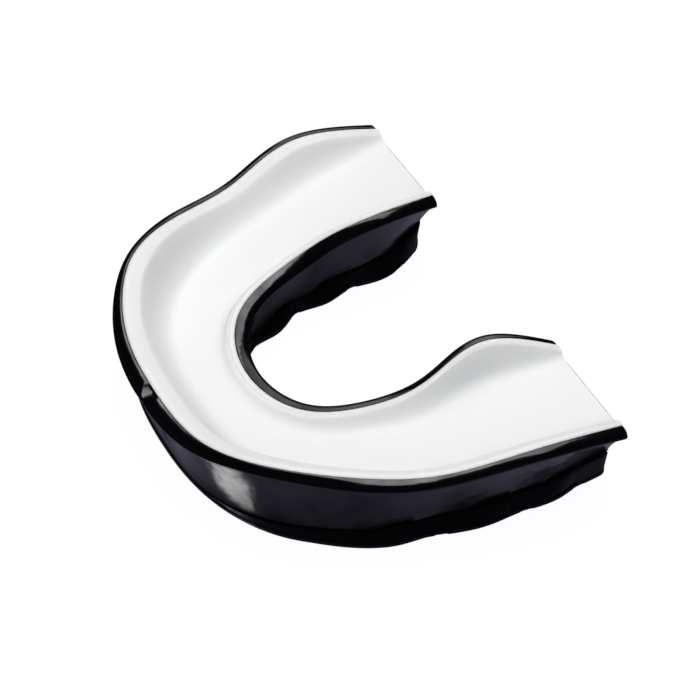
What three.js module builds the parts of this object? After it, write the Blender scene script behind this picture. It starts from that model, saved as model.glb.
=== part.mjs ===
// A moulded mouthguard for boxing and martial arts, in three pieces that are moulded onto each
// other: a glossy outer shell with a rolled rim, a soft inner liner that takes the teeth, and a
// lobed bite sole under the shell.
//
// Millimetres. The guard lies flat: -Y is the front of the mouth, the two arms run back along
// +Y, +X is one side of the mouth and +Z is up, towards the upper teeth. It is symmetric in X.
import * as THREE from "three";

// Clearances and thicknesses.
const PIECE_GAP = 0.3; // clearance between neighbouring pieces
const LINER_THICKNESS = 1.2; // under the teeth
const LINER_EDGE = 0.9; // width of the liner's rounded top edge
const SHELL_WALL = 1.5; // thickness of the shell's walls at the floor of its pocket
const LEDGE_WIDTH = 0.28; // how far the sole stands out beyond the foot of the shell's wall

// Rolled rim of the shell, measured from its top and from its outermost point.
const NOSE_DROP = 0.85; // down to the outermost point
const RIM_DEPTH = 1.3; // down to the lower edge
const HEAD_DROP = 1.5; // down to where the wall starts
const HEAD_INSET = 0.7; // from the outermost point in to where the wall starts

// Notch across the front of the rim for the tissue that joins the lip to the gum.
const NOTCH_HALF_WIDTH = 1.3;
const NOTCH_DEPTH = 0.52;

// Half of the arch as stations, from the centre of the front to the end of an arm. Pairs give the
// outer side first.
//   outer, inner: points [x, y, z] on the two rims, where the liner meets the shell
//   base, feet: how far the sole's bottom outline and the feet of the walls lie inside the rims
//   rims: widths of the rolled rim
//   ledge, floor: heights of the sole's top and of the liner's channel
//   runs: widths of the channel's two sloping walls
const STATIONS = [
  {
    outer: [0, -21.5, 9.5], inner: [0, -9.6, 6.8], base: [0.5, -0.9], feet: [0.6, -0.65],
    rims: [1.85, 1.6], ledge: 0.95, floor: 5.8, runs: [5.0, 2.2],
  },
  {
    outer: [10.5, -20.5, 10.1], inner: [7.0, -7.9, 7.1], base: [0.65, -1.05], feet: [0.7, -0.85],
    rims: [1.4, 1.7], ledge: 1.05, floor: 5.8, runs: [5.0, 2.0],
  },
  {
    outer: [19.9, -15.4, 11.9], inner: [11.4, -3.4, 7.9], base: [0.45, -1.05], feet: [0.9, -0.7],
    rims: [0.95, 1.8], ledge: 2.0, floor: 6.0, runs: [4.6, 1.9],
  },
  {
    outer: [25.4, -6.4, 11.0], inner: [13.5, 3.3, 9.1], base: [-0.1, -0.5], feet: [0.55, -0.1],
    rims: [1.4, 1.75], ledge: 2.2, floor: 6.5, runs: [3.8, 1.7],
  },
  {
    outer: [28.3, 2.1, 10.5], inner: [13.5, 8.7, 11.0], base: [0.45, 0.4], feet: [1.45, 0.95],
    rims: [1.1, 1.5], ledge: 2.45, floor: 7.1, runs: [3.8, 1.5],
  },
  {
    outer: [30.7, 11.5, 12.2], inner: [12.9, 15.3, 12.4], base: [1.85, 1.9], feet: [2.5, 2.1],
    rims: [1.2, 1.35], ledge: 3.1, floor: 8.1, runs: [3.6, 1.6],
  },
  {
    outer: [30.2, 23.4, 10.1], inner: [15.3, 23.5, 10.1], base: [2.3, 2.6], feet: [2.45, 2.8],
    rims: [1.35, 1.3], ledge: 3.7, floor: 9.0, runs: [2.0, 1.7],
  },
];
const LAST_STATION = STATIONS.length - 1;

// Lobes along the bottom of the sole, as [start, peak, end, bulge]. The first three are places
// along the stations.
const OUTER_LOBES = [
  [2.3, 3.2, 3.72, 0.6],
  [3.72, 4.4, 4.92, 0.45],
  [4.92, 5.35, 5.62, 0.4],
  [5.62, 6.2, 6.8, 0.1],
];
const INNER_LOBES = [
  [-1.75, 0, 1.75, 0.5],
  [1.75, 2.25, 2.91, 1.0],
  [2.91, 3.65, 4.5, 0.85],
  [4.5, 5.3, 6.2, 1.3],
];

// Fineness of the lofts.
const SECTIONS_PER_ARM = 34;
const SOLE_SECTIONS_PER_ARM = 80;
const FRONT_CROWDING = 1.5; // above 1, sections crowd towards the notch

// A smooth curve through one value of every station, over both arms. Its x flips sign from one
// arm to the other when mirrorX is set.
function archCurve(pick, mirrorX) {
  const half = STATIONS.map((station) => new THREE.Vector3(...pick(station)));
  const other = half.slice(1).reverse().map((p) => new THREE.Vector3(mirrorX ? -p.x : p.x, p.y, p.z));
  return new THREE.CatmullRomCurve3([...other, ...half], false, "catmullrom", 0.5);
}

const outerRim = archCurve((station) => station.outer, true);
const innerRim = archCurve((station) => station.inner, true);
const bases = archCurve((station) => [...station.base, station.ledge], false);
const feet = archCurve((station) => [...station.feet, station.floor], false);
const rims = archCurve((station) => [...station.rims, 0], false);
const runs = archCurve((station) => [...station.runs, 0], false);

// A bump of height 1 at the centre that dies away smoothly at the edge.
function bump(distance, halfWidth) {
  const reach = Math.min(Math.abs(distance) / halfWidth, 1);
  return (1 - reach * reach) ** 2;
}

// How far the sole's bottom outline bulges at a place.
function lobeAt(lobes, place) {
  const distance = Math.abs(place);
  const lobe = lobes.find(([start, , end]) => start <= distance && distance < end);
  if (!lobe) return 0;
  const [start, peak, end, bulge] = lobe;
  const edge = distance < peak ? start : end;
  const rise = (distance - edge) / (peak - edge);
  return bulge * Math.sin((Math.PI / 2) * rise) ** 1.5;
}

// The arch at one place, from -LAST_STATION to LAST_STATION. Its section plane is vertical and
// runs through both rims. In that plane, across is measured from the inner rim to the outer one.
function archAt(place) {
  const t = (place + LAST_STATION) / (2 * LAST_STATION);
  const outer = outerRim.getPoint(t);
  const inner = innerRim.getPoint(t);
  const across = new THREE.Vector3(outer.x - inner.x, outer.y - inner.y, 0);
  const base = bases.getPoint(t);
  const foot = feet.getPoint(t);
  const rim = rims.getPoint(t);
  const run = runs.getPoint(t);
  const floor = foot.z;
  const ledge = base.z;
  const side = (rimZ, baseInset, footInset, rimWidth, channelRun, notch) => {
    const headOut = rimWidth - HEAD_INSET;
    const headZ = rimZ - HEAD_DROP;
    const pocketZ = floor - LINER_THICKNESS - PIECE_GAP;
    const share = (pocketZ - ledge) / (headZ - ledge);
    const pocketOut = THREE.MathUtils.lerp(-footInset, headOut, share) - SHELL_WALL;
    return { rimZ, baseInset, footInset, rimWidth, channelRun, notch, headOut, headZ, pocketOut };
  };
  const notch = bump(outer.x, NOTCH_HALF_WIDTH);
  return {
    width: across.length(),
    origin: new THREE.Vector3(inner.x, inner.y, 0),
    direction: across.normalize(),
    floor,
    ledge,
    outerSide: side(outer.z, base.x - lobeAt(OUTER_LOBES, place), foot.x, rim.x, run.x, notch),
    innerSide: side(inner.z, base.y - lobeAt(INNER_LOBES, place), foot.y, rim.y, run.y, 0),
  };
}

// A whole outline from a half outline that is given for one side as [outward, height] points,
// where outward is measured from that side's rim.
function bothSides(arch, halfOutline) {
  const outer = halfOutline(arch.outerSide).map(([out, height]) => [arch.width + out, height]);
  const inner = halfOutline(arch.innerSide).map(([out, height]) => [-out, height]);
  return [...outer, ...inner.reverse()];
}

// Section of the shell: both rolled rims, the flared walls, the flat underside, and the pocket
// that holds the liner.
function shellSection(arch) {
  return bothSides(arch, (side) => {
    const { rimZ, rimWidth, footInset, headOut, headZ, pocketOut } = side;
    const dip = NOTCH_DEPTH * side.notch;
    return [
      [pocketOut, arch.floor - LINER_THICKNESS - PIECE_GAP],
      [0, rimZ - dip],
      [0.4 * rimWidth, rimZ - 0.1 - dip],
      [0.75 * rimWidth, rimZ - 0.32 - 0.8 * dip],
      [0.96 * rimWidth - 0.3 * dip, rimZ - 0.62 - 0.4 * dip],
      [rimWidth - 0.3 * dip, rimZ - NOSE_DROP],
      [rimWidth - 0.2, rimZ - RIM_DEPTH],
      [headOut, headZ],
      [-footInset, arch.ledge + PIECE_GAP],
    ];
  });
}

// Section of the liner: a rounded edge along each rim, two sloping walls and the channel floor.
// Its underside follows the shell's pocket.
function linerSection(arch) {
  return bothSides(arch, (side) => {
    const { rimZ, channelRun, pocketOut } = side;
    const edge = -PIECE_GAP;
    const wall = edge - LINER_EDGE;
    const drop = rimZ - arch.floor;
    const slope = (share) => THREE.MathUtils.lerp(wall, -channelRun, share);
    return [
      [pocketOut - PIECE_GAP, arch.floor - LINER_THICKNESS],
      [edge, rimZ - 0.2],
      [edge - 0.3 * LINER_EDGE, rimZ + 0.1],
      [edge - 0.7 * LINER_EDGE, rimZ + 0.1],
      [wall, rimZ - 0.15],
      [slope(0.45), arch.floor + 0.5 * drop],
      [slope(0.8), arch.floor + 0.14 * drop],
      [-channelRun - 0.6, arch.floor],
    ];
  });
}

// Section of the sole: a flat bottom with eased edges and slanting, lobed sides.
function soleSection(arch) {
  return bothSides(arch, ({ baseInset, footInset }) => {
    const top = LEDGE_WIDTH - footInset;
    return [
      [-baseInset - 0.4, 0],
      [-baseInset, 0.3],
      [-baseInset, 0.7],
      [top, arch.ledge - 0.15],
      [top - 0.15, arch.ledge],
    ];
  });
}

// A closed solid through one section after another, from arm end to arm end, with flat ends.
function loft(sectionOf, sectionsPerArm, crowding) {
  const positions = [];
  const rings = [];
  for (let step = -sectionsPerArm; step <= sectionsPerArm; step += 1) {
    const share = Math.abs(step) / sectionsPerArm;
    const arch = archAt(Math.sign(step) * LAST_STATION * share ** crowding);
    const section = sectionOf(arch);
    const outline = section.map(([across, height]) => new THREE.Vector2(across, height));
    const profile = THREE.ShapeUtils.isClockWise(outline) ? section : section.reverse();
    rings.push(profile);
    for (const [across, height] of profile) {
      const point = arch.origin.clone().addScaledVector(arch.direction, across);
      positions.push(point.x, point.y, height);
    }
  }
  const size = rings[0].length;
  const indices = [];
  for (let ring = 0; ring < rings.length - 1; ring += 1) {
    for (let corner = 0; corner < size; corner += 1) {
      const next = (corner + 1) % size;
      const [a, b] = [ring * size + corner, ring * size + next];
      const [c, d] = [a + size, b + size];
      indices.push(a, b, d, a, d, c);
    }
  }
  for (const ring of [0, rings.length - 1]) {
    const outline = rings[ring].map(([across, height]) => new THREE.Vector2(across, height));
    for (const [a, b, c] of THREE.ShapeUtils.triangulateShape(outline, [])) {
      const face = [a, b, c].map((corner) => ring * size + corner);
      indices.push(...(ring === 0 ? face : face.reverse()));
    }
  }
  const geometry = new THREE.BufferGeometry();
  geometry.setAttribute("position", new THREE.Float32BufferAttribute(positions, 3));
  geometry.setIndex(indices);
  geometry.computeVertexNormals();
  return geometry;
}

function piece(name, geometry, color, roughness) {
  const material = new THREE.MeshStandardMaterial({ color, roughness, metalness: 0 });
  const mesh = new THREE.Mesh(geometry, material);
  mesh.name = name;
  return mesh;
}

const mouthguard = new THREE.Group();
mouthguard.add(
  piece("outer_shell", loft(shellSection, SECTIONS_PER_ARM, FRONT_CROWDING), 0x0b0b0e, 0.25),
  piece("inner_liner", loft(linerSection, SECTIONS_PER_ARM, FRONT_CROWDING), 0xf3f5f6, 0.4),
  piece("bite_sole", loft(soleSection, SOLE_SECTIONS_PER_ARM, 1), 0x08080a, 0.35),
);

export default mouthguard;
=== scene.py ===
import math

import bpy
import numpy as np
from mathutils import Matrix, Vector
from mathutils.geometry import tessellate_polygon


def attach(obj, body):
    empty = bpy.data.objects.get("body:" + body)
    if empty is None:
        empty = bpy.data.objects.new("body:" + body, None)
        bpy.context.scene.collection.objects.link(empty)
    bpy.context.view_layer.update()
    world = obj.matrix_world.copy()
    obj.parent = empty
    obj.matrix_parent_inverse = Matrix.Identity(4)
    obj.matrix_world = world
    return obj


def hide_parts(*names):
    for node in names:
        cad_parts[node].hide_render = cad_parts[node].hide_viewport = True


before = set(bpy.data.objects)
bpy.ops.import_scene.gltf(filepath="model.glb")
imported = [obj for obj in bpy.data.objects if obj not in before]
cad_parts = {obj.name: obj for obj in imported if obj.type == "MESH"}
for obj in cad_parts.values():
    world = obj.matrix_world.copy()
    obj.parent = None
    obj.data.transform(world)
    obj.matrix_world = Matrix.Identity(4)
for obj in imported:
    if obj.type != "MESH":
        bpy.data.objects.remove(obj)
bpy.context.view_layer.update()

MM = 0.001

# ---------------------------------------------------------------------------------------------
# The arch, in millimetres, as in the CAD part: stations from the centre of the front to the end
# of an arm. Pairs give the outer side first.
#   outer, inner: points on the two rims, where the liner meets the shell
#   base, feet: how far the sole's bottom outline and the feet of the walls lie inside the rims
#   rims: widths of the shell's rolled rim
#   ledge, floor: heights of the sole's ledge and of the tooth channel
#   runs: widths of the channel's two sloping walls
STATIONS = [
    dict(outer=(0, -21.5, 9.5), inner=(0, -9.6, 6.8), base=(0.5, -0.9), feet=(0.6, -0.65),
         rims=(1.85, 1.6), ledge=0.95, floor=5.8, runs=(5.0, 2.2)),
    dict(outer=(10.5, -20.5, 10.1), inner=(7.0, -7.9, 7.1), base=(0.65, -1.05), feet=(0.7, -0.85),
         rims=(1.4, 1.7), ledge=1.05, floor=5.8, runs=(5.0, 2.0)),
    dict(outer=(19.9, -15.4, 11.9), inner=(11.4, -3.4, 7.9), base=(0.45, -1.05), feet=(0.9, -0.7),
         rims=(0.95, 1.8), ledge=2.0, floor=6.0, runs=(4.6, 1.9)),
    dict(outer=(25.4, -6.4, 11.0), inner=(13.5, 3.3, 9.1), base=(-0.1, -0.5), feet=(0.55, -0.1),
         rims=(1.4, 1.75), ledge=2.2, floor=6.5, runs=(3.8, 1.7)),
    dict(outer=(28.3, 2.1, 10.5), inner=(13.5, 8.7, 11.0), base=(0.45, 0.4), feet=(1.45, 0.95),
         rims=(1.1, 1.5), ledge=2.45, floor=7.1, runs=(3.8, 1.5)),
    dict(outer=(30.7, 11.5, 12.2), inner=(12.9, 15.3, 12.4), base=(1.85, 1.9), feet=(2.5, 2.1),
         rims=(1.2, 1.35), ledge=3.1, floor=8.1, runs=(3.6, 1.6)),
    dict(outer=(30.2, 23.4, 10.1), inner=(15.3, 23.5, 10.1), base=(2.3, 2.6), feet=(2.45, 2.8),
         rims=(1.35, 1.3), ledge=3.7, floor=9.0, runs=(2.0, 1.7)),
]
LAST_STATION = len(STATIONS) - 1

# The lobes along the bottom of the sole, as (start, peak, end, bulge), and the ledges above them,
# as (sharp start, where it begins to fade, where it is gone). Starts, peaks and ends are places
# along the stations.
OUTER_LOBES = [
    (2.3, 3.2, 3.72, 0.6),
    (3.72, 4.4, 4.92, 0.45),
    (4.92, 5.35, 5.62, 0.4),
    (5.62, 6.2, 6.8, 0.1),
]
OUTER_LEDGES = [(-1, 2.8, 3.3), (3.52, 4.05, 4.55), (4.8, 5.1, 5.4), (5.62, 6.1, 6.4)]
INNER_LOBES = [
    (-1.75, 0, 1.75, 0.5),
    (1.75, 2.25, 2.91, 1.0),
    (2.91, 3.65, 4.5, 0.85),
    (4.5, 5.3, 6.2, 1.3),
]
INNER_LEDGES = [(-1, 0.4, 1.2), (1.75, 2.05, 2.5), (2.91, 3.3, 3.9), (4.5, 5.0, 5.6)]
LEDGE_START = 0.03  # length of a ledge's sharp start, in stations
LEDGE_WIDTH = 0.28
FRONT_LEDGE_WIDTH = 0.04
LEDGE_WIDENS = (0.6, 2.2)  # places between which the outer ledge widens
SEAM_RISE = 1.3  # how far the sole climbs the wall where there is no ledge
WALL_FOLLOWS_LOBES = 0.3  # share of the lobes that the foot of the wall follows
TOE_HEIGHT = 0.7  # the plain band round the bottom of the sole
TOE_STEP = 0.12

JOINT_GAP = 0.03  # the hairline between two pieces that are moulded onto each other
LINER_THICKNESS = 1.2
CREST_SHARE = 0.42  # share of each channel wall's width that is its gently sloping crest
CREST_WIDTH = 0.85  # of the narrowest crest
CREST_SLOPE = 0.3
# Drop and slope of the rolled rim where it turns down, at the front, elsewhere and in the notch.
ROLL_DROPS = (0.5, 0.2, 0.12)
ROLL_TILTS = (0.8, 0.32, 0.1)
ROLL_CHANGES = (2.2, 3.0)  # places between which the outer rim turns from its front shape
INNER_ROLL_SHARE = 0.75  # share of the way from that shape to the other, all along the inner rim
ROLL_PLACES = (0.7, 0.86)  # shares of the rim's width where it turns down, and in the notch
NOSE_DROP = 0.85  # from the top of the rim to its outermost point
RIM_DEPTH = 1.3
HEAD_DROP = 1.5  # from the top of the rim to the head of the wall
HEAD_INSET = 0.7  # from the rim's outermost point in to the head of the wall
WALL_FLARES = (0.35, 0.08)  # how far the foot of the wall turns out, at the front and on the arms
FLARE_CHANGES = (2.8, 4.2)  # places between which it changes
FLARE_POWER = 4
WALL_POWER = 1.2  # above 1, the wall is slightly hollow
SHELL_WALL = 1.5

NOTCH_HALF_WIDTH = 1.5
NOTCH_DEPTH = 0.52
NOTCH_TIP = 0.12  # roundness of the notch's bottom

GROOVE_DEPTH = 0.5  # of the grooves across the underside, from crease to crease
GROOVE_HALF_WIDTH = 0.9
UNDERSIDE_HEIGHT = 0.3  # points of the sole below this are its underside
GROOVES = [((27.6, 1.4), (12.6, 3.0)), ((29.0, 12.0), (13.4, 11.4)), ((28.4, 19.2), (14.2, 18.6))]

ARM_SPEED = 12.0  # millimetres of arm to one station near the arms' ends
CORNER_RADII = (1.1, 2.2)  # of the sole's corners at the arms' ends, outer and inner
RINGS = 560
WALL_POINTS = 28
WALL_CROWDING = 1.7  # above 1, they crowd towards the foot
END_STEPS = 6
END_ROUND = dict(shell=0.2, liner=0.12, sole=0.22)
END_SETBACK = dict(shell=0.12, liner=0.0, sole=0.2)  # behind the end of the liner
SHARP_ANGLE = math.radians(50)


def smoothstep(low, high, value):
    share = np.clip((value - low) / (high - low), 0, 1)
    return share * share * (3 - 2 * share)


def lerp(a, b, share):
    return a + (b - a) * share


def spline(values, places):
    """The natural cubic spline through values at places 0, 1, 2 and so on."""
    values = np.asarray(values, float)
    count = len(values)
    system = np.eye(count)
    right = np.zeros_like(values)
    for row in range(1, count - 1):
        system[row, row - 1:row + 2] = 1, 4, 1
        right[row] = 6 * (values[row - 1] - 2 * values[row] + values[row + 1])
    bends = np.linalg.solve(system, right)
    index = np.clip(np.floor(places).astype(int), 0, count - 2)
    ahead = (places - index)[:, None]
    behind = 1 - ahead
    straight = behind * values[index] + ahead * values[index + 1]
    bent = (behind**3 - behind) * bends[index] + (ahead**3 - ahead) * bends[index + 1]
    return straight + bent / 6


def arch_rows(key, mirror_x=False):
    half = [np.atleast_1d(np.asarray(s[key], float)) for s in STATIONS]
    sign = np.array([-1, 1, 1]) if mirror_x else 1
    return [row * sign for row in half[:0:-1]] + half


def bump(distance, half_width):
    reach = np.minimum(np.abs(distance) / half_width, 1)
    return (1 - reach * reach) ** 2


def valley(distance, half_width, tip):
    """The depth of a V-shaped groove with a rounded tip: 1 in the middle, 0 from half_width on."""
    return np.maximum(0, 1 - np.hypot(distance / half_width, tip) / math.hypot(1, tip))


class Arch:
    """The arch at an array of places, from -LAST_STATION to LAST_STATION."""

    def __init__(self, places):
        at = np.asarray(places) + LAST_STATION
        outer = spline(arch_rows("outer", True), at)
        inner = spline(arch_rows("inner", True), at)
        across = (outer - inner)[:, :2]
        self.places = places
        self.width = np.linalg.norm(across, axis=1)
        self.direction = across / self.width[:, None]
        self.origin = inner[:, :2]
        self.outer_z = outer[:, 2]
        self.inner_z = inner[:, 2]
        self.notch = valley(outer[:, 0], NOTCH_HALF_WIDTH, NOTCH_TIP)
        self.base = spline(arch_rows("base"), at)
        self.feet = spline(arch_rows("feet"), at)
        self.rims = spline(arch_rows("rims"), at)
        self.ledge = spline(arch_rows("ledge"), at)[:, 0]
        self.floor = spline(arch_rows("floor"), at)[:, 0]
        self.runs = spline(arch_rows("runs"), at)


def bezier(p0, p1, p2, p3, steps, last=False):
    """Points along a cubic Bezier curve, without its last point unless last is set."""
    t = np.linspace(0, 1, steps + 1)[:, None]
    if not last:
        t = t[:-1]
    p0, p1, p2, p3 = (np.asarray(p, float) for p in (p0, p1, p2, p3))
    s = 1 - t
    return s**3 * p0 + 3 * s * s * t * p1 + 3 * s * t * t * p2 + t**3 * p3


def lobe_at(lobes, place):
    """How far the sole's bottom outline bulges at a place."""
    distance = abs(place)
    for start, peak, end, bulge in lobes:
        if start <= distance < end:
            edge = start if distance < peak else end
            return bulge * math.sin(math.pi / 2 * (distance - edge) / (peak - edge)) ** 1.5
    return 0.0


def ledge_at(ledges, place):
    """The share of the full ledge at a place: 1 behind a sharp start, 0 where it has faded."""
    distance = abs(place)
    for start, fading, gone in ledges:
        if start <= distance < gone:
            return float(smoothstep(start, start + LEDGE_START, distance)
                         * (1 - smoothstep(fading, gone, distance)))
    return 0.0


def corner_tuck(place, radius):
    """How far the rounded corner of an arm's end sets the sole's bottom outline in at a place."""
    left = (LAST_STATION - abs(place)) * ARM_SPEED
    reach = min(max(1 - left / radius, 0), 1)
    return radius * (1 - math.sqrt(1 - reach * reach))


class Side:
    """One side of a section. Its points are (outward from the rim, height)."""

    def __init__(self, arch, ring, which):
        place = float(arch.places[ring])
        self.rim_z = (arch.outer_z, arch.inner_z)[which][ring]
        self.notch = (arch.notch[ring], 0.0)[which]
        self.run = arch.runs[ring, which]
        self.rim_width = arch.rims[ring, which]
        self.floor = arch.floor[ring]
        self.ledge_z = arch.ledge[ring]
        bulge = lobe_at((OUTER_LOBES, INNER_LOBES)[which], place)
        self.ledge = ledge_at((OUTER_LEDGES, INNER_LEDGES)[which], place)
        widened = (smoothstep(*LEDGE_WIDENS, abs(place)), 1.0)[which]
        self.ledge_width = lerp(FRONT_LEDGE_WIDTH, LEDGE_WIDTH, widened)
        self.base = -arch.base[ring, which] + bulge - corner_tuck(place, CORNER_RADII[which])
        self.foot = -arch.feet[ring, which] + WALL_FOLLOWS_LOBES * bulge
        flattened = (smoothstep(*ROLL_CHANGES, abs(place)), INNER_ROLL_SHARE)[which]
        self.roll_drop, self.roll_tilt = (
            lerp(lerp(front, elsewhere, flattened), in_notch, self.notch)
            for front, elsewhere, in_notch in (ROLL_DROPS, ROLL_TILTS)
        )
        self.flare = lerp(*WALL_FLARES, smoothstep(*FLARE_CHANGES, abs(place)))
        self.head = np.array([self.rim_width - HEAD_INSET, self.rim_z - HEAD_DROP])
        self.seam_z = self.ledge_z + SEAM_RISE * (1 - self.ledge)
        self.seam = self.wall(self.seam_z)
        self.pocket_floor = self.floor - LINER_THICKNESS - JOINT_GAP
        self.pocket = self.wall(self.pocket_floor) - np.array([SHELL_WALL, 0])

    def wall(self, height):
        """The point of the flared wall at a height."""
        share = np.clip((height - self.ledge_z) / (self.head[1] - self.ledge_z), 0, 1)
        flare = self.flare * (1 - share) ** FLARE_POWER
        return np.array([lerp(self.foot - self.flare, self.head[0], share**WALL_POWER) + flare, height])

    def rim(self, out, down):
        return np.array([out, self.rim_z - down])


def shell_side(s):
    """From the pocket's corner up to the rim, over the rolled rim and down to the underside. The
    offsets in the curves are their handles."""
    corner = s.pocket
    dip = NOTCH_DEPTH * s.notch
    lip = s.rim(0, 0.14 + 0.2 * dip)
    crown = s.rim(0.16, 0.05 + dip)
    roll = s.rim(lerp(*ROLL_PLACES, s.notch) * s.rim_width, s.roll_drop + 0.9 * dip)
    turn = np.array([0.2, -0.2 * s.roll_tilt])
    nose = s.rim(s.rim_width - 0.3 * dip, NOSE_DROP + 0.2 * dip)
    under = s.rim(s.rim_width - 0.2, RIM_DEPTH)
    heights = lerp(s.seam_z, s.head[1], np.linspace(1, 0, WALL_POINTS + 1)[:-1] ** WALL_CROWDING)
    wall = np.array([s.wall(h) for h in heights])
    inward = np.array([s.foot - 0.7, s.ledge_z + JOINT_GAP])
    return np.concatenate([
        [corner + (-0.4, 0), lerp(corner, lip, 0.1), lerp(corner, lip, 0.5)],
        bezier(lip, lip + (0.02, 0.06), crown - (0.08, -0.005), crown, 5),
        bezier(crown, crown + (0.3 * s.rim_width, -0.03), roll - turn, roll, 8),
        bezier(roll, roll + 0.6 * turn, nose + (0, 0.26), nose, 8),
        bezier(nose, nose - (0, 0.25), under + (0.12, 0.1), under, 6),
        bezier(under, under - (0.2, 0.16), s.head + (0.03, 0.16), s.head, 5),
        wall,
        [s.seam + (0, JOINT_GAP), inward],
    ])


def liner_side(s):
    """From the underside's corner up the pocket's wall, over the edge and down to the floor."""
    corner = s.pocket + (-0.4, JOINT_GAP)
    low = 0.14 + 0.2 * NOTCH_DEPTH * s.notch
    lip = s.rim(0, low)
    heel = lerp(s.pocket, lip, 0.1) + (-JOINT_GAP, JOINT_GAP)
    start = s.rim(-JOINT_GAP, low + 0.03)
    crest = s.rim(-0.5, 0.0)
    brow = max(CREST_SHARE * s.run, CREST_WIDTH)
    shoulder = s.rim(-brow, 0.06 + CREST_SLOPE * (brow - 0.5))
    knee = np.array([-s.run, s.floor])
    halfway = lerp(shoulder, knee, 0.5)
    end = knee - (1.5, 0)
    return np.concatenate([
        [corner, heel, lerp(heel, start, 0.5)],
        bezier(start, start + (-0.02, 0.1), crest + (0.22, -0.01), crest, 6),
        bezier(crest, crest - (0.25, -0.01), shoulder + (0.3, 0.3 * CREST_SLOPE), shoulder, 8),
        bezier(shoulder, shoulder - (0.3, 0.3 * CREST_SLOPE), lerp(shoulder, knee, 0.4), halfway, 8),
        bezier(halfway, lerp(shoulder, knee, 0.8), knee - (0.2, 0), end, 12, last=True),
    ])


def sole_side(s):
    """From the underside up over the toe and the slanting side to the ledge, and under the shell."""
    bare = 1 - s.ledge
    step = TOE_STEP * bare
    toe = np.array([s.base, TOE_HEIGHT - 0.06])
    over_toe = np.array([s.base - step - 0.06, TOE_HEIGHT + 0.06])
    ledge_round = 0.5 * s.ledge_width
    corner = np.array([s.foot + s.ledge_width, s.ledge_z - ledge_round])
    flat = np.array([s.foot + s.ledge_width - ledge_round, s.ledge_z])
    seam = s.seam
    along_wall = s.wall(s.seam_z) - s.wall(s.seam_z + 0.5)
    above = lerp(lerp(over_toe, corner, 0.5), over_toe + (0, 0.5), bare)
    below_corner = lerp(lerp(over_toe, corner, 0.9), lerp(over_toe, seam, 0.45), bare)
    on_corner = lerp(corner, lerp(over_toe, seam, 0.62) + (-0.1, 0), bare)
    on_flat = lerp(flat, seam + 2.2 * along_wall, bare)
    near_seam = lerp(lerp(flat, seam, 0.6), seam + 0.9 * along_wall, bare)
    return np.concatenate([
        [(s.base - 1.2, 0)],
        bezier((s.base - 0.35, 0), (s.base - 0.12, 0), (s.base, 0.1), (s.base, 0.3), 5),
        bezier((s.base, 0.3), (s.base, 0.4), toe - (0, 0.1), toe, 3),
        bezier(toe, toe + (0, 0.09), over_toe + (0.04, 0), over_toe, 4),
        bezier(over_toe, above, below_corner, on_corner, 9),
        bezier(on_corner, lerp(on_corner, on_flat, 0.5) + (0.02 * s.ledge, 0.02), on_flat, on_flat, 4),
        bezier(on_flat, near_seam, near_seam, seam, 4, last=True),
        [(s.foot - 0.7, s.ledge_z)],
    ])


def section(arch, ring, side_of, spans):
    """The closed outline of one ring as (across, height) points. spans are how many points cross
    the middle at the outline's start and at its end."""
    right = side_of(Side(arch, ring, 0)) * (1, 1) + (arch.width[ring], 0)
    left = side_of(Side(arch, ring, 1)) * (-1, 1)
    closing = [lerp(left[0], right[0], k / spans[0]) for k in range(1, spans[0])]
    crossing = [lerp(right[-1], left[-1], k / spans[1]) for k in range(1, spans[1])]
    return np.array([*right, *crossing, *left[::-1], *closing])


def signed_area(outline):
    following = np.roll(outline, -1, axis=0)
    return 0.5 * np.sum(outline[:, 0] * following[:, 1] - following[:, 0] * outline[:, 1])


def drawn_in(outline, amount):
    """A counter-clockwise outline moved inwards by amount, for a rounded arm end."""
    before = outline - np.roll(outline, 1, axis=0)
    after = np.roll(outline, -1, axis=0) - outline
    before /= np.maximum(np.linalg.norm(before, axis=1), 1e-9)[:, None]
    after /= np.maximum(np.linalg.norm(after, axis=1), 1e-9)[:, None]
    tangent = before + after
    tangent /= np.maximum(np.linalg.norm(tangent, axis=1), 1e-9)[:, None]
    inwards = np.stack([-tangent[:, 1], tangent[:, 0]], axis=1)
    return outline + inwards * amount


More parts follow.
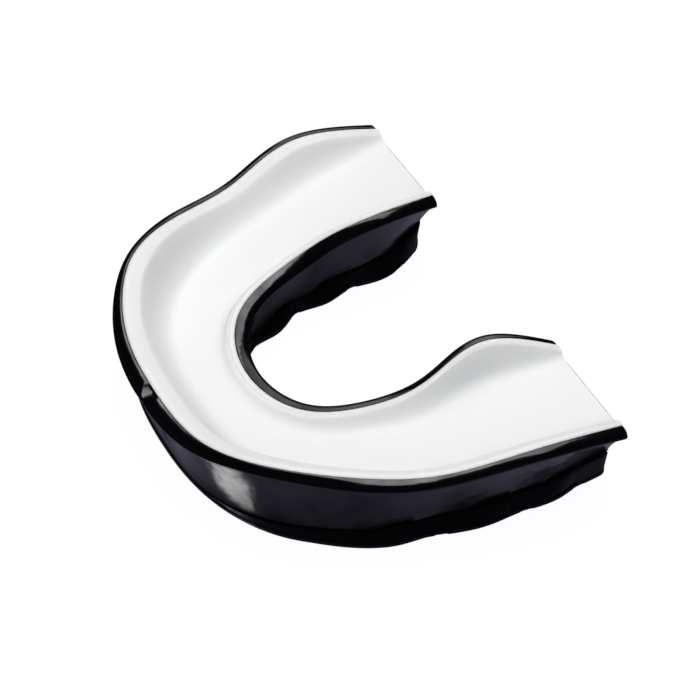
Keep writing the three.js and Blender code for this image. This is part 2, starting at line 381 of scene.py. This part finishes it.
def loft(name, kind, side_of, spans):
    """A closed mesh through the sections, from arm end to arm end, with rounded ends."""
    last = LAST_STATION - END_SETBACK[kind] / ARM_SPEED
    end_round = END_ROUND[kind]
    turns = np.linspace(0, math.pi / 2, END_STEPS + 1)[1:]
    full = last - end_round / ARM_SPEED
    places = list(np.linspace(-full, full, RINGS))
    amounts = [0.0] * RINGS
    for turn in turns:
        reach = full + end_round * math.sin(turn) / ARM_SPEED
        places = [-reach, *places, reach]
        amount = end_round * (1 - math.cos(turn))
        amounts = [amount, *amounts, amount]
    arch = Arch(np.array(places))
    rings = []
    for ring, amount in enumerate(amounts):
        outline = section(arch, ring, side_of, spans)
        if signed_area(outline) < 0:
            outline = outline[::-1]
        if amount > 0:
            outline = drawn_in(outline, amount)
        plan = arch.origin[ring] + outline[:, :1] * arch.direction[ring]
        rings.append(np.column_stack([plan, outline[:, 1]]))
    size = len(rings[0])
    points = np.concatenate(rings) * MM
    faces = []
    for ring in range(len(rings) - 1):
        for corner in range(size):
            nxt = (corner + 1) % size
            a, b = ring * size + corner, ring * size + nxt
            faces.append((a + size, b + size, b, a))
    last_ring = (len(rings) - 1) * size
    outline = section(Arch(np.array([last])), 0, side_of, spans)
    if signed_area(outline) < 0:
        outline = outline[::-1]
    # The caps are cut from the full outline, because a drawn-in one may cross itself.
    for a, b, c in tessellate_polygon([[(x, y, 0) for x, y in outline]]):
        turn = np.cross(outline[b] - outline[a], outline[c] - outline[a])
        a, c = (a, c) if turn > 0 else (c, a)
        faces.append((a, b, c))
        faces.append((last_ring + c, last_ring + b, last_ring + a))
    mesh = bpy.data.meshes.new(name)
    mesh.from_pydata(points.tolist(), [], faces)
    mesh.validate()
    mesh.shade_smooth()
    mesh.set_sharp_from_angle(angle=SHARP_ANGLE)
    piece = bpy.data.objects.new(name, mesh)
    bpy.context.scene.collection.objects.link(piece)
    return piece


# ---------------------------------------------------------------------------------------------
# Materials. Scales of noise are in cycles to a metre, and bump distances are in metres.
SHEEN_SCALE = 190
SHEEN_SHARES = (1.5, 0.5)  # of the mean specular level, at the noise's low and high ends
SHEEN_SPREAD = 0.18
POLISH_SCALE = 90  # of the uneven roughness
WAVE = dict(scale=260, detail=2, distance=0.00018, strength=0.55)
GRAIN_SCALE = 2500
LINER_COLORS = ((0.80, 0.805, 0.81, 1), (0.84, 0.84, 0.84, 1))
LINER_TINT_SCALE = 60
LINER_POLISH_SCALE = 120
LINER_ROUGHNESS = (0.38, 0.52)
LINER_WAVE = dict(scale=220, detail=3, distance=0.00005, strength=0.3)
LINER_GRAIN = dict(scale=3000, detail=2, distance=0.00001, strength=0.3)


def material(name):
    made = bpy.data.materials.new(name)
    made.use_nodes = True
    nodes = made.node_tree.nodes
    return made, nodes, made.node_tree.links, nodes["Principled BSDF"]


def noise(nodes, links, coordinates, scale, detail):
    node = nodes.new("ShaderNodeTexNoise")
    node.inputs["Scale"].default_value = scale
    node.inputs["Detail"].default_value = detail
    links.new(coordinates.outputs["Object"], node.inputs["Vector"])
    return node.outputs["Fac"]


def remapped(nodes, links, value, low, high, spread=0.5):
    node = nodes.new("ShaderNodeMapRange")
    node.inputs["From Min"].default_value = 0.5 - spread
    node.inputs["From Max"].default_value = 0.5 + spread
    node.inputs["To Min"].default_value = low
    node.inputs["To Max"].default_value = high
    links.new(value, node.inputs["Value"])
    return node.outputs["Result"]


def relief(nodes, links, coordinates, kind, normal=None):
    """Bumps of one kind, on top of those of normal."""
    node = nodes.new("ShaderNodeBump")
    node.inputs["Strength"].default_value = kind["strength"]
    node.inputs["Distance"].default_value = kind["distance"]
    height = noise(nodes, links, coordinates, kind["scale"], kind["detail"])
    links.new(height, node.inputs["Height"])
    if normal is not None:
        links.new(normal, node.inputs["Normal"])
    return node.outputs["Normal"]


def moulded_black(name, color, specular, roughness, spread, grain_strength):
    made, nodes, links, shader = material(name)
    shader.inputs["Base Color"].default_value = (*color, 1)
    shader.inputs["IOR"].default_value = 1.5
    coordinates = nodes.new("ShaderNodeTexCoord")
    patches = noise(nodes, links, coordinates, SHEEN_SCALE, 3)
    strong, weak = (share * specular for share in SHEEN_SHARES)
    sheen = remapped(nodes, links, patches, strong, weak, SHEEN_SPREAD)
    links.new(sheen, shader.inputs["Specular IOR Level"])
    patches = noise(nodes, links, coordinates, POLISH_SCALE, 4)
    polish = remapped(nodes, links, patches, roughness - spread, roughness + spread)
    links.new(polish, shader.inputs["Roughness"])
    soft = relief(nodes, links, coordinates, WAVE)
    grain = dict(scale=GRAIN_SCALE, detail=2, distance=0.00001, strength=grain_strength)
    links.new(relief(nodes, links, coordinates, grain, soft), shader.inputs["Normal"])
    return made


def liner_white(name):
    made, nodes, links, shader = material(name)
    coordinates = nodes.new("ShaderNodeTexCoord")
    blend = nodes.new("ShaderNodeMix")
    blend.data_type = "RGBA"
    blend.inputs["A"].default_value, blend.inputs["B"].default_value = LINER_COLORS
    links.new(noise(nodes, links, coordinates, LINER_TINT_SCALE, 4), blend.inputs["Factor"])
    links.new(blend.outputs["Result"], shader.inputs["Base Color"])
    shader.inputs["IOR"].default_value = 1.45
    shader.inputs["Specular IOR Level"].default_value = 0.25
    shader.inputs["Subsurface Weight"].default_value = 0.25
    shader.inputs["Subsurface Radius"].default_value = (1.0, 0.9, 0.8)
    shader.inputs["Subsurface Scale"].default_value = 0.0012
    patches = noise(nodes, links, coordinates, LINER_POLISH_SCALE, 3)
    links.new(remapped(nodes, links, patches, *LINER_ROUGHNESS), shader.inputs["Roughness"])
    soft = relief(nodes, links, coordinates, LINER_WAVE)
    links.new(relief(nodes, links, coordinates, LINER_GRAIN, soft), shader.inputs["Normal"])
    return made


# ---------------------------------------------------------------------------------------------
# The pieces.
def add_piece(piece, node, finish):
    piece.data.materials.append(finish)
    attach(piece, "root")
    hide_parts(node)


def groove_depth(x, y):
    """Depth of the grooves across the sole's underside at a point, in millimetres."""
    depth = 0.0
    for (x0, y0), (x1, y1) in GROOVES:
        along = np.array([x1 - x0, y1 - y0], float)
        along /= np.linalg.norm(along)
        beside = (abs(x) - x0) * along[1] - (y - y0) * along[0]
        depth = max(depth, GROOVE_DEPTH * bump(beside, GROOVE_HALF_WIDTH))
    return depth


def cut_grooves(piece):
    for vertex in piece.data.vertices:
        if vertex.co.z < UNDERSIDE_HEIGHT * MM:
            vertex.co.z += groove_depth(vertex.co.x / MM, vertex.co.y / MM) * MM


shell_black = moulded_black("shell_black_gloss", color=(0.0018, 0.0018, 0.0026), specular=0.4,
                            roughness=0.14, spread=0.04, grain_strength=0.12)
sole_black = moulded_black("sole_black_rubber", color=(0.0014, 0.0014, 0.002), specular=0.16,
                           roughness=0.24, spread=0.05, grain_strength=0.3)

shell = loft("shell_moulding", "shell", shell_side, spans=(3, 5))
add_piece(shell, "outer_shell", shell_black)

liner = loft("liner_moulding", "liner", liner_side, spans=(3, 9))
add_piece(liner, "inner_liner", liner_white("liner_white_eva"))

sole = loft("sole_moulding", "sole", sole_side, spans=(40, 3))
cut_grooves(sole)
add_piece(sole, "bite_sole", sole_black)


# ---------------------------------------------------------------------------------------------
# The stage, in metres: a plain pale floor and backdrop, soft lights and a dim surround. The floor
# and the backdrop show in no reflection. Glossy surfaces reflect the two windows, the surround,
# which is paler low down, and the bright patch in it.
FLOOR_HALF_SIZE = 2.0
FLOOR_DEPTH = 0.00002  # a hair below the sole, so that the two surfaces don't share a plane
BACKDROP_RADIUS = 1.9
BACKDROP_HEIGHT = 1.2
BACKDROP_SIDES = 96
PALE = (0.955, 0.945, 0.99, 1)


def pale_surface(name, points, faces):
    mesh = bpy.data.meshes.new(name)
    mesh.from_pydata(points, [], faces)
    surface = bpy.data.objects.new(name, mesh)
    bpy.context.scene.collection.objects.link(surface)
    made, _, _, shader = material(name + "_white")
    shader.inputs["Base Color"].default_value = (0.08, 0.08, 0.08, 1)
    shader.inputs["Roughness"].default_value = 0.9
    shader.inputs["Specular IOR Level"].default_value = 0.1
    shader.inputs["Emission Color"].default_value = PALE
    shader.inputs["Emission Strength"].default_value = 1.0
    mesh.materials.append(made)
    surface.visible_glossy = False
    return surface


def make_floor():
    half = FLOOR_HALF_SIZE
    corners = [(-half, -half), (half, -half), (half, half), (-half, half)]
    pale_surface("floor", [(x, y, -FLOOR_DEPTH) for x, y in corners], [(0, 1, 2, 3)])


def make_backdrop():
    points = []
    for side in range(BACKDROP_SIDES):
        turn = 2 * math.pi * side / BACKDROP_SIDES
        x, y = BACKDROP_RADIUS * math.cos(turn), BACKDROP_RADIUS * math.sin(turn)
        points += [(x, y, -FLOOR_DEPTH), (x, y, BACKDROP_HEIGHT)]
    count = len(points)
    faces = [(k, k + 1, (k + 3) % count, (k + 2) % count) for k in range(0, count, 2)]
    backdrop = pale_surface("backdrop", points, faces)
    backdrop.visible_diffuse = False
    backdrop.visible_shadow = False


# The lights all aim at the middle of the arch. Those in gloss show only in reflections, and the
# others give only diffuse light.
LIGHTS = [
    dict(name="softbox", place=(-0.080, 0.041, 0.593), size=(0.72, 0.54), power=2.4, in_gloss=False),
    dict(name="high_window", place=(-0.222, 0.144, 0.540), size=(0.54, 0.40), power=3.3, in_gloss=True),
    dict(name="low_window", place=(-0.459, 0.265, 0.282), size=(0.40, 0.30), power=0.5, in_gloss=True),
    dict(name="side_fill", place=(-0.310, 0.397, 0.327), size=(0.42, 0.34), power=0.35, in_gloss=False),
    dict(name="top_fill", place=(-0.165, 0.085, 0.57), size=(0.94, 0.56), power=1.1, in_gloss=False),
    dict(name="front_fill", place=(0.39, -0.2, 0.41), size=(0.6, 0.6), power=1.8, in_gloss=False),
]


def area_light(name, place, size, power, in_gloss):
    data = bpy.data.lights.new(name, "AREA")
    data.shape = "RECTANGLE"
    data.size, data.size_y = size
    data.energy = power
    light = bpy.data.objects.new(name, data)
    light.location = place
    light.rotation_euler = (-Vector(place)).to_track_quat("-Z", "Y").to_euler()
    light.visible_glossy = in_gloss
    light.visible_diffuse = not in_gloss
    bpy.context.scene.collection.objects.link(light)


# Brightness of the surround from straight down to straight up, as (share of the way, grey).
SURROUND = [
    (0.0, 0.17),
    (0.09, 0.16),
    (0.15, 0.095),
    (0.22, 0.035),
    (0.3, 0.012),
    (0.5, 0.005),
    (1.0, 0.005),
]
SURROUND_TINT = (1, 0.95, 1.35)
# A bright oval patch low at the front, mirrored in the shell's wall.
GLOW_CENTRE = (-0.187, -0.484, 0)
GLOW_AXES = ((0.75, 0.66, 0), (0.66, -0.75, 0))
GLOW_HALF_SIZES = (0.07, 0.22)
GLOW_EDGE = (0.65, 1.35)  # where it starts to fade and where it is gone, in half sizes
GLOW = 3.2


def surround_color(nodes, links, height):
    """The surround's colour at a height from -1, straight down, to 1, straight up."""
    share = nodes.new("ShaderNodeMapRange")
    share.inputs["From Min"].default_value = -1
    links.new(height, share.inputs["Value"])
    ramp = nodes.new("ShaderNodeValToRGB")
    links.new(share.outputs["Result"], ramp.inputs["Fac"])
    stops = ramp.color_ramp.elements
    while len(stops) < len(SURROUND):
        stops.new(0.5)
    for stop, (place, grey) in zip(stops, SURROUND):
        stop.position = place
        stop.color = (*(grey * tint for tint in SURROUND_TINT), 1)
    return ramp.outputs["Color"]


def glow_strength(nodes, links, direction, height):
    """The strength of the bright patch, which ends at the horizon."""
    offset = nodes.new("ShaderNodeVectorMath")
    offset.operation = "SUBTRACT"
    offset.inputs[1].default_value = GLOW_CENTRE
    links.new(direction, offset.inputs[0])
    spans = nodes.new("ShaderNodeCombineXYZ")
    for socket, axis, half_size in zip("XY", GLOW_AXES, GLOW_HALF_SIZES):
        span = nodes.new("ShaderNodeVectorMath")
        span.operation = "DOT_PRODUCT"
        span.inputs[1].default_value = [part / half_size for part in axis]
        links.new(offset.outputs["Vector"], span.inputs[0])
        links.new(span.outputs["Value"], spans.inputs[socket])
    reach = nodes.new("ShaderNodeVectorMath")
    reach.operation = "LENGTH"
    links.new(spans.outputs["Vector"], reach.inputs[0])
    fade = nodes.new("ShaderNodeMapRange")
    fade.interpolation_type = "SMOOTHSTEP"
    fade.inputs["From Min"].default_value, fade.inputs["From Max"].default_value = GLOW_EDGE
    fade.inputs["To Min"].default_value = GLOW
    fade.inputs["To Max"].default_value = 0
    links.new(reach.outputs["Value"], fade.inputs["Value"])
    below = nodes.new("ShaderNodeMath")
    below.operation = "LESS_THAN"
    below.inputs[1].default_value = 0
    links.new(height, below.inputs[0])
    glow = nodes.new("ShaderNodeMath")
    glow.operation = "MULTIPLY"
    links.new(fade.outputs["Result"], glow.inputs[0])
    links.new(below.outputs["Value"], glow.inputs[1])
    return glow.outputs["Value"]


def make_world():
    world = bpy.data.worlds.new("studio")
    bpy.context.scene.world = world
    world.use_nodes = True
    nodes, links = world.node_tree.nodes, world.node_tree.links
    direction = nodes.new("ShaderNodeTexCoord").outputs["Generated"]
    split = nodes.new("ShaderNodeSeparateXYZ")
    links.new(direction, split.inputs["Vector"])
    height = split.outputs["Z"]
    together = nodes.new("ShaderNodeMix")
    together.data_type = "RGBA"
    together.blend_type = "ADD"
    together.inputs["Factor"].default_value = 1
    links.new(surround_color(nodes, links, height), together.inputs["A"])
    links.new(glow_strength(nodes, links, direction, height), together.inputs["B"])
    links.new(together.outputs["Result"], nodes["Background"].inputs["Color"])


CAMERA_AZIMUTH = math.radians(62.8)
CAMERA_ELEVATION = math.radians(43.5)
CAMERA_DISTANCE = 0.3086
CAMERA_TARGET = (0.0050, 0.0014, 0.010)
CAMERA_LENS = 135.6  # this and the sensor's width are in millimetres
CAMERA_SENSOR = 36


def make_camera():
    forward = np.array((
        -math.sin(CAMERA_AZIMUTH) * math.cos(CAMERA_ELEVATION),
        math.cos(CAMERA_AZIMUTH) * math.cos(CAMERA_ELEVATION),
        -math.sin(CAMERA_ELEVATION),
    ))
    data = bpy.data.cameras.new("camera")
    data.sensor_width = CAMERA_SENSOR
    data.lens = CAMERA_LENS
    data.clip_start = 0.01
    camera = bpy.data.objects.new("camera", data)
    camera.location = np.array(CAMERA_TARGET) - forward * CAMERA_DISTANCE
    camera.rotation_euler = (math.pi / 2 - CAMERA_ELEVATION, 0, CAMERA_AZIMUTH)
    bpy.context.scene.collection.objects.link(camera)
    bpy.context.scene.camera = camera


make_floor()
make_backdrop()
make_world()
for light in LIGHTS:
    area_light(**light)
make_camera()
bpy.context.scene.view_settings.view_transform = "Standard"
